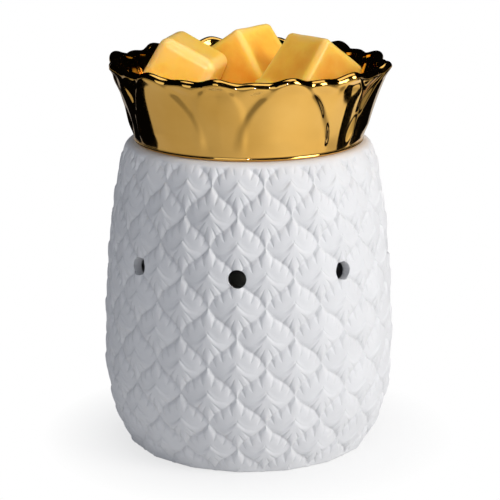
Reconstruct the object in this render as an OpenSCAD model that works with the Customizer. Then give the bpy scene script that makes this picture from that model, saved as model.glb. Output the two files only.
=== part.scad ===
// Electric wax melt warmer: a bisque body with pineapple scales carries a ruffled gilt dish.
// A twist-lock reflector lamp inside the body shines up and melts the wax in the dish.
// Heights are above the tabletop, the front vent faces -Y and the cord gland faces +Y.

/* [Body] */
// Largest radius of the body, over its scales
belly_r = 58.6; // [57.6:0.1:60.6]
// Height of the largest radius
belly_z = 37; // [34:0.5:40]
// Radius where the shoulder starts to turn in
shoulder_r = 50.7; // [50:0.1:52]
// Height where the shoulder starts to turn in
shoulder_z = 118.5; // [117.5:0.1:119]
// Height of the flat seat that carries the dish
seat_z = 123.6; // [123:0.1:124.4]
// Radius of the flat foot
foot_r = 42.2; // [41.6:0.1:43]
// Thickness of the wall under the grooves
wall = 4.2; // [3.6:0.1:4.6]
// Radius of the mouth at the top
mouth_r = 40.6; // [40.2:0.1:41.4]
// Diameter of the vents
vent_d = 7.2; // [4:0.1:8]
// Height of the vents
vent_z = 80.5; // [74:0.5:86]

/* [Scales] */
// Scales in one row round the body
scale_columns = 16; // [12:2:20]
// Distance between rows, along the flank
row_pitch = 11.68; // [10.5:0.02:12.6]
// Depth of the grooves between the scales
scale_depth = 1.4; // [0.6:0.1:1.8]
// Distance of the top row's centres below the shoulder, along the flank
top_row_drop = 2.7; // [1:0.1:6]

/* [Dish] */
// Radius of the dish at its rim
rim_r = 55.4; // [54:0.1:57]
// Mean height of the rim
rim_z = 155.4; // [153:0.1:158]
// Radius of the dish where it meets the seat
dish_foot_r = 45.9; // [45:0.1:46.4]
// Thickness of the dish wall
dish_wall = 3.2; // [2.6:0.1:3.6]
// Height of the dish floor
dish_floor_z = 129; // [127.5:0.1:130]
// Number of front petals, with as many between and behind them
petals = 6; // [4:1:8]
// Angle of the first front petal from the front of the body
petal_turn = 21.5; // [0:0.5:60]
// Depth of the step at a petal's edge
petal_depth = 1.3; // [0.4:0.1:1.8]
// Height of the ruffles of the rim
ruffle = 1.9; // [0.5:0.1:2.5]

/* [Wax] */
// Edge of a wax melt at its base
wax_edge = 27; // [22:0.2:27.4]
// Height of a wax melt
wax_h = 25.5; // [20:0.5:26]

/* [Lamp] */
// Diameter of the reflector lamp
lamp_d = 50; // [48:0.5:51]
// Distance between the two pins
pin_pitch = 10; // [9:0.5:10.5]
// Turn of the lamp from locked to free
lamp_turn = 30; // [20:1:35]

/* [Base] */
// Radius of the base plate
plate_r = 39; // [38:0.1:39.4]
// Thickness of the base plate
plate_t = 1.2; // [0.8:0.1:1.6]
// Height of the rubber feet
pad_h = 3; // [2.8:0.1:3.6]
// Distance of the clamp screws from the centre
clamp_x = 28; // [27:0.5:28.5]
// Diameter of the hole for the cord in its gland
cord_d = 6; // [5:0.1:6.6]

/* [Hidden] */
$fn = 64;

// Levels of the base, from the table up
foot_lift = 0.8;
gasket_t = 0.8;
ledge_t = 4.5;
plate_z = pad_h;
ledge_z = plate_z + plate_t + gasket_t;
ledge_top = ledge_z + ledge_t;
rebate_r = plate_r + 0.6;
opening_r = plate_r - 5;

// Levels of the lamp and its holder
sheet_t = 1.5;
bridge_z = 40;
holder_h = 16;
holder_z = bridge_z + holder_h;
lamp_z = holder_z + 0.2;
lamp_h = 47;
pin_neck = 4.5;
pin_head = 2.5;
pin_neck_r = 1.5;
pin_head_r = 2.4;
pin_play = 0.3;
screw_y = 7.6;

// A cubic curve through four control points
function bezier(p, t) = pow(1 - t, 3) * p[0] + 3 * t * pow(1 - t, 2) * p[1]
    + 3 * t * t * (1 - t) * p[2] + pow(t, 3) * p[3];
function curve(p, steps) = [for (i = [1:steps]) bezier(p, i / steps)];
function arc(centre, r, from, to, steps) =
    [for (i = [0:steps]) let (a = from + (to - from) * i / steps) centre + r * [cos(a), sin(a)]];
function clamp(x, low, high) = min(max(x, low), high);
function smooth(x) = let (t = clamp(x, 0, 1)) t * t * (3 - 2 * t);
// A point at an angle measured from the front towards the right
function at(angle, r, z) = [r * sin(angle), -r * cos(angle), z];

// Outline of the body over its scales, from the foot's flat to the seat
foot_round = [[foot_r, foot_lift], [foot_r + 2.6, foot_lift], [foot_r + 3.5, foot_lift],
    [foot_r + 4.4, 1.6]];
low_flank = [foot_round[3], foot_round[3] + [5.2, 7.8], [belly_r, belly_z - 18], [belly_r, belly_z]];
high_flank = [[belly_r, belly_z], [belly_r, belly_z + 17], [shoulder_r + 6.7, shoulder_z - 26.5],
    [shoulder_r, shoulder_z]];
shoulder = [[shoulder_r, shoulder_z], [shoulder_r - 0.6, shoulder_z + 2.5],
    [shoulder_r - 2.1, seat_z], [shoulder_r - 4.4, seat_z]];
outline = concat([foot_round[0]], curve(foot_round, 6), curve(low_flank, 20), curve(high_flank, 24),
    curve(shoulder, 8));
run = [for (i = 0, s = 0; i < len(outline);
    s = s + (i + 1 < len(outline) ? norm(outline[i + 1] - outline[i]) : 0), i = i + 1) s];
run_end = run[len(run) - 1];
radius_at = [for (i = [0:len(run) - 1]) [run[i], outline[i].x]];
height_at = [for (i = [0:len(run) - 1]) [run[i], outline[i].y]];

// Lattice of the scales: a counts half columns round the body, b counts rows up from the top row
cuts = 5;
row_points = scale_columns * cuts;
half_column = 180 / scale_columns;
shoulder_run = run_end - [for (i = [0:len(run) - 1]) if (outline[i].y >= shoulder_z) run_end - run[i]][0];
top_row_run = shoulder_run - top_row_drop;
low_cut = -floor((top_row_run - 1.6) * cuts / row_pitch);
high_cut = floor((run_end - 0.8 - top_row_run) * cuts / row_pitch);
crowd = 0.085;
ogee = 0.042;
// The edges of the lozenges run in slow waves
function swell(t) = -ogee * sin(360 * t);
// The points of the skin crowd towards the grooves, which stay narrow
function crowded(t, keep) = t + keep * crowd * sin(360 * t);
// Brim of the cup that covers the foot of a fan: it peaks at the stem and sags on both sides
function brim(x) = -0.25 + 0.4 * pow(max(1 - x / 0.42, 0), 2) + 0.2 * smooth((x - 0.5) / 0.5);
// Height of a scale, from 0 in its grooves to about 1 on its fan
function scale_rise(u, v) =
    let (lu = u - round(u), lv = v - round(v))
    let (x = abs(lu - lv), y = lu + lv, upper = 0.5 - max(lu, lv), lower = 0.5 + min(lu, lv))
    let (fan = 0.84 - 0.78 * pow(x, 1.8))
    let (tongue = 0.15 * smooth((y - 0.25) / 0.4) * exp(-pow(x / 0.25, 4)))
    let (cup = (0.07 + 0.36 * exp(-pow(x / 0.32, 2))) * smooth((brim(x) - y) / 0.18 + 0.65))
    let (sag = 0.46 * smooth((brim(x) - y) / 0.75))
    smooth(upper / 0.12) * smooth(lower / 0.16) * (fan + tongue + cup - sag);
function fade(s) = smooth((s - 2) / 5) * smooth((run_end - 2 - s) / 3.5);
function skin_point(a, b) =
    let (keep = fade(top_row_run + b * row_pitch))
    let (u = crowded((b + a) / 2, keep), v = crowded((b - a) / 2, keep))
    let (du = keep * swell(v), dv = keep * swell(u))
    let (s = top_row_run + (u + v + du + dv) * row_pitch)
    let (r = lookup(s, radius_at) - keep * scale_depth * (1 - scale_rise(u, v)))
    at((u - v + du - dv) * half_column, r, lookup(s, height_at));
function skin_row(k) =
    [for (i = [0:row_points - 1]) skin_point((2 * i + (k % 2 == 0 ? 1 : 0)) / cuts, k / cuts)];
function ring(r, z, k) =
    [for (i = [0:row_points - 1]) at((2 * i + (k % 2 == 0 ? 1 : 0)) / cuts * half_column, r, z)];
// Two triangles between point i of a row and the next row, which stands half a step on or back
function staggered(j, i, n, ahead) =
    let (p = j * n + i, q = j * n + (i + 1) % n, r = p + n, t = q + n)
    ahead ? [[p, r, q], [q, r, t]] : [[p, r, t], [p, t, q]];

// Pineapple scales round a solid body
module scaled_body() {
    first = low_cut - 1;
    rows = concat([ring(outline[0].x, foot_lift, first)], [for (k = [low_cut:high_cut]) skin_row(k)],
        [ring(outline[len(outline) - 1].x, seat_z, high_cut + 1)]);
    n = row_points;
    last = len(rows) - 1;
    sides = [for (j = [0:last - 1], i = [0:n - 1]) each staggered(j, i, n, (first + j) % 2 != 0)];
    polyhedron(points = [for (row = rows) each row],
        faces = concat(sides, [[for (i = [0:n - 1]) i]], [[for (i = [n - 1:-1:0]) last * n + i]]));
}

// Inside of the body, with the rebate and opening for the base plate
module body_cavity() {
    inset = wall + scale_depth;
    inner_low = [[opening_r + 8, ledge_top], [opening_r + 15, ledge_top + 1], [belly_r - inset, belly_z - 14],
        [belly_r - inset, belly_z]];
    inner_high = [[belly_r - inset, belly_z], [belly_r - inset, belly_z + 17],
        [shoulder_r + 6 - inset, shoulder_z - 28], [shoulder_r - inset + 0.4, shoulder_z - 8]];
    rotate_extrude()
        polygon(concat([[0, -1], [rebate_r, -1], [rebate_r, ledge_z], [opening_r, ledge_z],
            [opening_r, ledge_top]], [inner_low[0]], curve(inner_low, 8), curve(inner_high, 8),
            [[mouth_r, shoulder_z - 2.5], [mouth_r, seat_z + 1], [0, seat_z + 1]]));
}

// Axis of the cord gland, level and square to the wall at the back
gland_z = 30;
gland_r = 4.6;
gland_flange_r = 6.8;
gland_seat = 55.9;
gland_t = 4.2;
module at_gland() {
    translate([0, gland_seat, gland_z])
        rotate([-90, 0, 0])
            children();
}

// Vents are drilled square to the flank, so they slope down towards the inside
vent_tilt = 6;
vent_seat = 55;
module body_shell() {
    color("white")
        difference() {
            scaled_body();
            body_cavity();
            for (k = [0:scale_columns / 2 - 1])
                rotate([0, 0, k * 4 * half_column])
                    translate([0, -vent_seat, vent_z])
                        rotate([90 - vent_tilt, 0, 0])
                            cylinder(d = vent_d, h = 24, center = true);
            at_gland() {
                translate([0, 0, -12])
                    cylinder(r = gland_r, h = 24);
                cylinder(r = gland_flange_r + 0.4, h = 12);
            }
        }
}

// The dish: rings from its foot up the outside, over the lip and down to its floor
dish_points = 96;
petal_pitch = 360 / petals;
lip_r = dish_wall / 2;
// Angle to the nearest front petal's middle
function petal_angle(angle) = let (p = (angle - petal_turn) / petal_pitch) (p - round(p)) * petal_pitch;
// Ruffle of the rim: a tip on each petal and each one behind, with a lesser lobe between them
function rim_wave(angle) = let (w = 2 * petals * (angle - petal_turn))
    ruffle * (0.38 * cos(w) + 0.32 * cos(2 * w) + 0.1 * cos(w / 2));
// Half width of a front petal, from its foot at t = 0 to its tip at t = 1
function petal_half(t) = petal_pitch / 60 * (6 + 16 * (1 - pow(t, 2.2)));
function petal_step(angle, t) =
    let (off = abs(petal_angle(angle)), half = petal_half(t))
    petal_depth * smooth(t / 0.25) * (smooth((half - off) / 4.5 + 0.5) - 0.5 + 0.25 * cos(180 * off / half));
function dish_profile(t) = dish_foot_r + (rim_r - dish_foot_r) * (0.62 * t + 0.38 * t * t);
function dish_outside(angle, t) =
    at(angle, dish_profile(t) + petal_step(angle, t) + 0.35 * rim_wave(angle) * pow(t, 4),
        seat_z + 1.4 + (rim_z + rim_wave(angle) - lip_r - seat_z - 1.4) * t);
function toward(p, d, dz) = let (r = norm([p.x, p.y])) [p.x * (r + d) / r, p.y * (r + d) / r, p.z + dz];
function dish_lip(angle, turn) =
    toward(dish_outside(angle, 1), lip_r * (cos(turn) - 1), lip_r * sin(turn));
function dish_inside(angle, t) =
    let (top = dish_lip(angle, 180), floor_r = 36, p = at(angle, floor_r, dish_floor_z))
    let (bend = [[0, 0], [0.72, 0.03], [0.62, 0.55], [1, 1]], q = bezier(bend, t))
    [p.x + (top.x - p.x) * q.x, p.y + (top.y - p.y) * q.x, p.z + (top.z - p.z) * q.y];
module dish_cup() {
    n = dish_points;
    angles = [for (i = [0:n - 1]) 360 * i / n];
    foot_edge = [[dish_foot_r - 1.4, seat_z], [dish_foot_r - 0.4, seat_z + 0.45]];
    rows = concat(
        [for (p = foot_edge) [for (a = angles) at(a, p.x, p.y)]],
        [for (t = [0, 0.12, 0.26, 0.4, 0.54, 0.68, 0.8, 0.91, 1]) [for (a = angles) dish_outside(a, t)]],
        [for (turn = [45, 90, 135]) [for (a = angles) dish_lip(a, turn)]],
        [for (t = [1, 0.8, 0.6, 0.4, 0.2, 0]) [for (a = angles) dish_inside(a, t)]]);
    last = len(rows) - 1;
    sides = [for (j = [0:last - 1], i = [0:n - 1])
        let (p = j * n + i, q = j * n + (i + 1) % n) each [[p, p + n, q + n], [p, q + n, q]]];
    polyhedron(points = [for (row = rows) each row],
        faces = concat(sides, [[for (i = [0:n - 1]) i]], [[for (i = [n - 1:-1:0]) last * n + i]]));
}

// The ring under the dish that centres it in the body's mouth
spigot_r = mouth_r - 1;
spigot_h = 6;
module wax_dish() {
    color("gold")
        difference() {
            union() {
                dish_cup();
                translate([0, 0, seat_z - spigot_h])
                    cylinder(r = spigot_r, h = spigot_h + 1);
            }
            translate([0, 0, seat_z - spigot_h - 1])
                cylinder(r = spigot_r - 3, h = spigot_h + 2.4);
        }
}

// A wax melt from a moulded tray: tapered, round at its corners, with the broken web at its base
wax_round = 2.6;
wax_draft = 1.3;
web_t = 2.2;
web_out = 1.6;
module wax_melt() {
    half = wax_edge / 2;
    color("khaki") {
        hull()
            for (x = [-1, 1], y = [-1, 1], z = [0, 1]) {
                reach = half - wax_round - z * wax_draft;
                translate([x * reach, y * reach, z ? wax_h / 2 - wax_round : wax_round - wax_h / 2])
                    sphere(r = wax_round, $fn = 20);
            }
        translate([0, 0, -wax_h / 2])
            hull()
                for (x = [-1, 1], y = [-1, 1])
                    translate([x * (half + web_out - 3), y * (half + web_out - 3), 0])
                        cylinder(r = 3, h = web_t, $fn = 24);
    }
}
// Each melt lies tipped in the dish: its place, the heading of its tipping axis and its tilt
module lay(place, heading, tilt) {
    translate(place)
        rotate([0, 0, heading])
            rotate([tilt, 0, 0])
                children();
}

module wax_melt_left() {
    lay([-25.9, 0.8, 149.2], 80.5, 27)
        wax_melt();
}
module wax_melt_rear() {
    lay([-2.8, 24, 148.7], 60, -33)
        wax_melt();
}
module wax_melt_right() {
    lay([25.2, -1.6, 148.9], 133, 36)
        wax_melt();
}

// Glass bowl of the lamp, with a recess at its rim for the lens
module lamp_reflector() {
    r = lamp_d / 2;
    bowl_z = 13;
    thick = 1.6;
    outer = [[9.4, bowl_z], [13, bowl_z + 16], [r - 2.4, bowl_z + 22], [r - 0.6, lamp_h - 4]];
    inner = [[r - 0.6 - thick, lamp_h - 4], [r - 4.4, bowl_z + 24], [12.4, bowl_z + 18],
        [7.8, bowl_z + thick]];
    color("gainsboro")
        translate([0, 0, lamp_z])
            rotate_extrude()
                polygon(concat([[4.8, bowl_z], outer[0]], curve(outer, 10),
                    [[r, lamp_h - 4], [r, lamp_h], [r - thick, lamp_h], [r - thick, lamp_h - 2.6],
                        [inner[0].x, lamp_h - 2.6]], [inner[0]], curve(inner, 10), [[4.8, bowl_z + thick]]));
}

// Flat glass that closes the reflector
module lamp_lens() {
    color("aliceblue")
        translate([0, 0, lamp_z + lamp_h - 2.6])
            cylinder(r = lamp_d / 2 - 1.7, h = 2);
}

// Ceramic cap that carries the pins and holds the reflector's neck
module lamp_cap() {
    color("ivory")
        translate([0, 0, lamp_z])
            difference() {
                union() {
                    cylinder(r = 11.5, h = 4);
                    cylinder(r = 9.6, h = 11);
                    translate([0, 0, 9])
                        cylinder(r1 = 9.6, r2 = 13, h = 8);
                }
                translate([0, 0, 13])
                    cylinder(r1 = 9.6, r2 = 12, h = 5);
                translate([0, 0, 8])
                    cylinder(r = 3.6, h = 6);
                for (x = [-1, 1])
                    translate([x * pin_pitch / 2, 0, -1])
                        cylinder(r = pin_neck_r, h = 7);
            }
}

// Two headed pins that hang in the holder's slots
module lamp_pins() {
    color("darkgoldenrod")
        for (x = [-1, 1])
            translate([x * pin_pitch / 2, 0, lamp_z - pin_neck - pin_head]) {
                cylinder(r = pin_head_r, h = pin_head);
                cylinder(r = pin_neck_r, h = pin_head + pin_neck + 6);
            }
}

// Quartz capsule at the reflector's focus, hollow round its filament
module lamp_capsule() {
    color("lightcyan")
        translate([0, 0, lamp_z + 8])
            difference() {
                union() {
                    cylinder(r = 3.6, h = 7);
                    translate([0, 0, 6])
                        cylinder(r = 4.6, h = 14);
                    translate([0, 0, 20])
                        sphere(r = 4.6);
                }
                translate([0, 0, 9])
                    cylinder(r = 3.6, h = 11);
                translate([0, 0, 20])
                    sphere(r = 3.6);
            }
}

// Tungsten coil across two support wires
module lamp_filament() {
    coil = 5;
    color("dimgray")
        translate([0, 0, lamp_z + 17]) {
            for (x = [-1, 1])
                translate([x * coil / 2, 0, 0])
                    cylinder(r = 0.3, h = 6.3);
            translate([-coil / 2, 0, 6])
                rotate([0, 90, 0])
                    cylinder(r = 0.8, h = coil);
        }
}

// A slot along a part of a circle, with round ends drilled a little wider than it
drill_play = 0.1;
module round_slot(ring, turn, half, h) {
    rotate_extrude(angle = turn)
        translate([ring - half, 0])
            square([2 * half, h]);
    for (end = [0, turn])
        rotate([0, 0, end])
            translate([ring, 0, 0])
                cylinder(r = half + drill_play, h = h);
}
// A slot for a lamp pin on its way round
module pin_slot(half, h) {
    round_slot(pin_pitch / 2, lamp_turn, half, h);
}

// Outline that the two steatite pieces of the holder share
module holder_outline(h) {
    linear_extrude(h)
        intersection() {
            circle(r = 15);
            square([30, 22], center = true);
        }
}

// Steatite cup with one well for the pins' heads and the leaves under them
cover_t = 3.8;
well_z = 6;
well_size = [15.8, 10.4];
module holder_block() {
    color("antiquewhite")
        translate([0, 0, bridge_z])
            difference() {
                holder_outline(holder_h - cover_t);
                translate([-well_size.x / 2, -well_size.y / 2, well_z])
                    cube([well_size.x, well_size.y, holder_h]);
                for (side = [-1, 1]) {
                    translate([side * pin_pitch / 2, 0, -1])
                        cylinder(r = lead_r + 0.1, h = well_z + 2);
                    translate([0, side * screw_y, -1])
                        cylinder(r = holder_screw_r + 0.1, h = holder_h);
                }
            }
}

// Steatite cover with a keyhole slot for each pin
module holder_cover() {
    color("oldlace")
        translate([0, 0, holder_z - cover_t])
            difference() {
                holder_outline(cover_t);
                for (side = [0, 180])
                    rotate([0, 0, side]) {
                        translate([0, 0, -1])
                            pin_slot(pin_neck_r + pin_play, cover_t + 2);
                        rotate([0, 0, lamp_turn])
                            translate([pin_pitch / 2, 0, -1])
                                cylinder(r = pin_head_r + pin_play, h = cover_t + 2);
                        translate([0, screw_y, -1])
                            cylinder(r = holder_screw_r + 0.1, h = cover_t + 2);
                        translate([0, screw_y, cover_t - screw_sink])
                            cylinder(r = 2 * holder_screw_r + 0.2, h = screw_sink + 1);
                    }
            }
}

// Bronze leaves that press on the pins' heads from below, each on the end of a lead
lead_r = 1.3;
leaf_z = bridge_z + well_z;
module holder_contacts() {
    color("peru")
        for (side = [0, 180])
            rotate([0, 0, side])
                translate([0, 0, leaf_z]) {
                    translate([pin_pitch / 2, 0, 0])
                        cylinder(r = 1, h = 2.6);
                    translate([0, 0, 2.4])
                        pin_slot(1.6, 0.5);
                }
}

// A pan head screw that stands on its head
function head(r) = 1.1 * r;
module screw(r, length) {
    cylinder(r = 2 * r, h = head(r));
    cylinder(r = r, h = head(r) + length);
}
module nut(r) {
    difference() {
        cylinder(r = 2.1 * r, h = 1.6 * r, $fn = 6);
        translate([0, 0, -1])
            cylinder(r = r, h = 2 * r + 2);
    }
}

// Small screws from the holder down through the bridge
holder_screw_r = 1.5;
screw_sink = 2.6;
module holder_screws() {
    color("silver")
        for (y = [-1, 1])
            translate([0, y * screw_y, holder_z - screw_sink + head(holder_screw_r)])
                mirror([0, 0, 1])
                    screw(holder_screw_r, 18);
}
module holder_nuts() {
    color("silver")
        for (y = [-1, 1])
            translate([0, y * screw_y, bridge_z - sheet_t])
                mirror([0, 0, 1])
                    nut(holder_screw_r);
}

// Steel strap bent into a bridge: its feet lie on the ledge inside the body's foot
bridge_w = 22;
bridge_end = 40;
leg_x = 21;
bend_r = 3;
module bridge_bracket() {
    low = ledge_top;
    inside = concat([[bridge_end, low], [leg_x + bend_r, low]],
        arc([leg_x + bend_r, low + bend_r], bend_r, 270, 180, 6),
        arc([leg_x - bend_r, bridge_z - sheet_t - bend_r], bend_r, 0, 90, 6));
    outside = concat(arc([leg_x - bend_r, bridge_z - sheet_t - bend_r], bend_r + sheet_t, 90, 0, 6),
        arc([leg_x + bend_r, low + bend_r], bend_r - sheet_t, 180, 270, 6), [[bridge_end, low + sheet_t]]);
    half = concat(inside, [[0, bridge_z - sheet_t], [0, bridge_z]], outside);
    color("lightsteelblue")
        difference() {
            for (side = [0, 1])
                mirror([side, 0, 0])
                    rotate([90, 0, 0])
                        linear_extrude(bridge_w, center = true)
                            polygon(half);
            for (side = [-1, 1]) {
                translate([side * clamp_x, 0, low - 1])
                    cylinder(r = clamp_r + 0.1, h = 4);
                translate([side * pin_pitch / 2, 0, bridge_z - 4])
                    cylinder(r = lead_r + 1, h = 6);
                translate([0, side * screw_y, bridge_z - 4])
                    cylinder(r = holder_screw_r + 0.1, h = 6);
            }
        }
}

// Screws that pull the base plate and the bridge together, with the ledge between them
clamp_r = 2;
module clamp_screws() {
    color("silver")
        for (side = [-1, 1])
            translate([side * clamp_x, 0, plate_z - head(clamp_r)])
                screw(clamp_r, ledge_top + sheet_t - plate_z + 4.5);
}
module clamp_nuts() {
    color("silver")
        for (side = [-1, 1])
            translate([side * clamp_x, 0, ledge_top + sheet_t])
                nut(clamp_r);
}

// Steel disc under the body, with slots that let cool air in
slot_r = 21;
module base_plate() {
    color("lightgray")
        translate([0, 0, plate_z])
            difference() {
                cylinder(r = plate_r, h = plate_t);
                for (side = [-1, 1])
                    translate([side * clamp_x, 0, -1])
                        cylinder(r = clamp_r + 0.15, h = 4);
                for (turn = [0:45:315])
                    rotate([0, 0, turn + 12])
                        translate([0, 0, -1])
                            round_slot(slot_r, 21, 2, 4);
            }
}

// Soft ring between the steel disc and the ceramic ledge
module base_gasket() {
    color("dimgray")
        translate([0, 0, plate_z + plate_t])
            difference() {
                cylinder(r = plate_r - 0.2, h = gasket_t);
                translate([0, 0, -1])
                    cylinder(r = opening_r + 0.6, h = 3);
            }
}

// Stick-on rubber feet
pad_r = 5.5;
pad_ring = 32;
module rubber_feet() {
    color("darkslategray")
        for (turn = [45:90:315])
            rotate([0, 0, turn])
                translate([pad_ring, 0, 0]) {
                    cylinder(r1 = pad_r - 0.6, r2 = pad_r, h = 1);
                    translate([0, 0, 1])
                        cylinder(r = pad_r, h = pad_h - 1);
                }
}

// Rubber bush that lines the hole for the cord, with a flange outside the wall
module cord_gland() {
    color("whitesmoke")
        at_gland()
            difference() {
                union() {
                    translate([0, 0, -gland_t - 2])
                        cylinder(r = gland_r, h = gland_t + 2.5);
                    cylinder(r1 = gland_flange_r, r2 = gland_flange_r - 0.8, h = 2);
                }
                translate([0, 0, -20])
                    cylinder(d = cord_d, h = 30);
            }
}

// A lead swept along its route with eight sides
lead_route = [[5, 0, 46], [5, 0, 34], [5.6, 1, 26], [7.2, 4, 17], [8.6, 5.6, 10.4], [9, 9, 8], [9, 16, 7.6]];
function sweep_ring(p, along, r) =
    let (side = cross(along, [1, 0, 0]), x = side / norm(side), y = cross(along, x))
    [for (i = [0:7]) p + r * (cos(45 * i) * x + sin(45 * i) * y)];
function heading(route, i) =
    let (d = route[min(i + 1, len(route) - 1)] - route[max(i - 1, 0)]) d / norm(d);
module lead(side) {
    route = [for (p = lead_route) [side * p.x, p.y, p.z]];
    last = len(route) - 1;
    points = [for (i = [0:last]) each sweep_ring(route[i], heading(route, i), lead_r)];
    sides = [for (j = [0:last - 1], i = [0:7])
        let (p = 8 * j + i, q = 8 * j + (i + 1) % 8) each [[p, q, q + 8], [p, q + 8, p + 8]]];
    ends = [[for (i = [7:-1:0]) i], [for (i = [0:7]) 8 * last + i]];
    polyhedron(points = points, faces = concat(sides, ends));
}
module lead_line() {
    color("saddlebrown")
        lead(1);
}
module lead_neutral() {
    color("white")
        lead(-1);
}

// Closed-end crimp caps on the base plate, where each lead is spliced to the cord
splice_r = 3.4;
splice_l = 15;
module splice_caps() {
    end = lead_route[len(lead_route) - 1];
    color("linen")
        for (side = [-1, 1])
            translate([side * end.x, end.y - 4, end.z])
                rotate([-90, 0, 0])
                    difference() {
                        union() {
                            cylinder(r = splice_r, h = splice_l - splice_r);
                            translate([0, 0, splice_l - splice_r])
                                sphere(r = splice_r);
                        }
                        translate([0, 0, -1])
                            cylinder(r = splice_r - 0.9, h = 12);
                    }
}

body_shell();
wax_dish();
wax_melt_left();
wax_melt_rear();
wax_melt_right();
lamp_reflector();
lamp_lens();
lamp_cap();
lamp_pins();
lamp_capsule();
lamp_filament();
holder_block();
holder_cover();
holder_contacts();
holder_screws();
holder_nuts();
bridge_bracket();
clamp_screws();
clamp_nuts();
base_plate();
base_gasket();
rubber_feet();
cord_gland();
lead_line();
lead_neutral();
splice_caps();
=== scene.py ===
# %% [markdown]
# # A wax melt warmer
# The object is a bisque ceramic pot, pressed with pineapple scales, under a gilt dish shaped like a
# crown of petals. Three wax melts lie in the dish, and a lamp inside the pot warms it from below.
# The exact solids come first, as a fixed frame. Every new piece is made in the same place and the same
# metres, so that it needs no fitting.

# %% Load the frame
import math

import bmesh
import bpy
import numpy as np
from mathutils import Matrix, Vector, noise


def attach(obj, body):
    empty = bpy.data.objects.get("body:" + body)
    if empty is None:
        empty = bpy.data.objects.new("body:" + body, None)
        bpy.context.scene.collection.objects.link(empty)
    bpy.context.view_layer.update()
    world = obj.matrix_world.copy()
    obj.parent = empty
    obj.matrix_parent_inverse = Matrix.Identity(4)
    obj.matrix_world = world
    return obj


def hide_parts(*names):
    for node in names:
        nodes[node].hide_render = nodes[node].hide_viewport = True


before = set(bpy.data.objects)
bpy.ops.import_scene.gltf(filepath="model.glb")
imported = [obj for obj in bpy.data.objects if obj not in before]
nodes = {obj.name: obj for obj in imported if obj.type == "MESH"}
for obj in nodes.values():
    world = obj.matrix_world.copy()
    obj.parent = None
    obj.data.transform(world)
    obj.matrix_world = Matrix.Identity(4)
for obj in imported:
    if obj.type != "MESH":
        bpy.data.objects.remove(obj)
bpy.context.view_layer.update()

# %% [markdown]
# ## The camera
# The picture was taken with a long lens from a little above the rim, which keeps the sides nearly
# parallel. The pot is turned a few degrees, so that its front vent sits left of the middle. Here the
# camera goes round the pot instead, because the pot has to stay where its solids are.

# %% Camera
MM = 0.001
VIEW_TURN = math.radians(4.57)
VIEW_PITCH = math.radians(14.75)
CAMERA_PLACE = (0, -0.750, 0.275)
camera = bpy.data.objects.new("camera", bpy.data.cameras.new("camera"))
camera.data.lens = 137.8
camera.data.sensor_width = 36
camera.data.shift_x = 0.0025
around = Matrix.Rotation(VIEW_TURN, 4, "Z")
tipped = Matrix.Rotation(math.pi / 2 - VIEW_PITCH, 4, "X")
camera.matrix_world = around @ Matrix.Translation(CAMERA_PLACE) @ tipped
bpy.context.scene.collection.objects.link(camera)
bpy.context.scene.camera = camera
print("camera at", [round(x, 3) for x in camera.matrix_world.translation])

# %% [markdown]
# ## Turning pieces on a wheel
# Both ceramic pieces start as round ones, like a pot on a wheel: a closed outline is spun round the
# upright axis. Each point of the outline carries its number along on a vertex layer, so that later
# steps know which part of the outline a vertex came from. The relief is then pressed into the skin by
# moving the vertices.


# %% Helpers for turned pieces
def curve(points, steps):
    """Points along a cubic curve, the first one left out"""
    t = np.linspace(0, 1, steps + 1)[1:, None]
    p = np.asarray(points, float)
    return (1 - t) ** 3 * p[0] + 3 * t * (1 - t) ** 2 * p[1] + 3 * t * t * (1 - t) * p[2] + t ** 3 * p[3]


def smooth(x):
    """A soft step from 0 to 1"""
    t = np.clip(x, 0, 1)
    return t * t * (3 - 2 * t)


def turn(outline, steps):
    """Spin a closed outline of (radius, height) in mm round the upright axis"""
    bm = bmesh.new()
    number = bm.verts.layers.float.new("outline_number")
    ring = []
    for i, (r, z) in enumerate(outline):
        ring.append(bm.verts.new((0, -r * MM, z * MM)))
        ring[-1][number] = i
    edges = [bm.edges.new((a, b)) for a, b in zip(ring, ring[1:] + ring[:1])]
    bmesh.ops.spin(bm, geom=ring + edges, cent=(0, 0, 0), axis=(0, 0, 1), angle=2 * math.pi,
                   steps=steps, use_merge=True)
    bmesh.ops.remove_doubles(bm, verts=bm.verts, dist=1e-7)
    bare = [edge for edge in bm.edges if not edge.link_faces]
    bmesh.ops.delete(bm, geom=bare, context="EDGES")
    bmesh.ops.recalc_face_normals(bm, faces=bm.faces)
    return bm


def outline_numbers(bm):
    """Each vertex's place along the outline"""
    layer = bm.verts.layers.float["outline_number"]
    return np.array([round(v[layer]) for v in bm.verts])


def angles(bm):
    """Each vertex's angle in degrees, from the front towards the right"""
    return np.degrees(np.array([math.atan2(v.co.x, -v.co.y) for v in bm.verts]))


def move(bm, chosen, angle, r, z):
    """Put the chosen vertices at an angle, radius and height"""
    places = np.column_stack([r * np.sin(np.radians(angle)), -r * np.cos(np.radians(angle)), z]) * MM
    bm.verts.ensure_lookup_table()
    for i, place in zip(np.flatnonzero(chosen), places):
        bm.verts[i].co = place


def piece(name, bm, body, slot, *replaced):
    """Make an object of a mesh, smooth it, and let it stand for its solids"""
    mesh = bpy.data.meshes.new(name)
    bm.to_mesh(mesh)
    bm.free()
    mesh.shade_smooth()
    obj = bpy.data.objects.new(name, mesh)
    bpy.context.scene.collection.objects.link(obj)
    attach(obj, body)
    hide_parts(*replaced)
    print(name, len(mesh.vertices), "vertices,", len(mesh.polygons), "faces")
    return obj


# %% [markdown]
# ## Outline of the pot
# The outline was measured on the picture: a round foot, a belly low down, a long flank that leans in
# and a round shoulder under the dish. It is made of cubic curves, which a potter's wooden rib would
# follow. The distance along it counts from the foot, and the rows of scales will hang from the shoulder.

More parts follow.
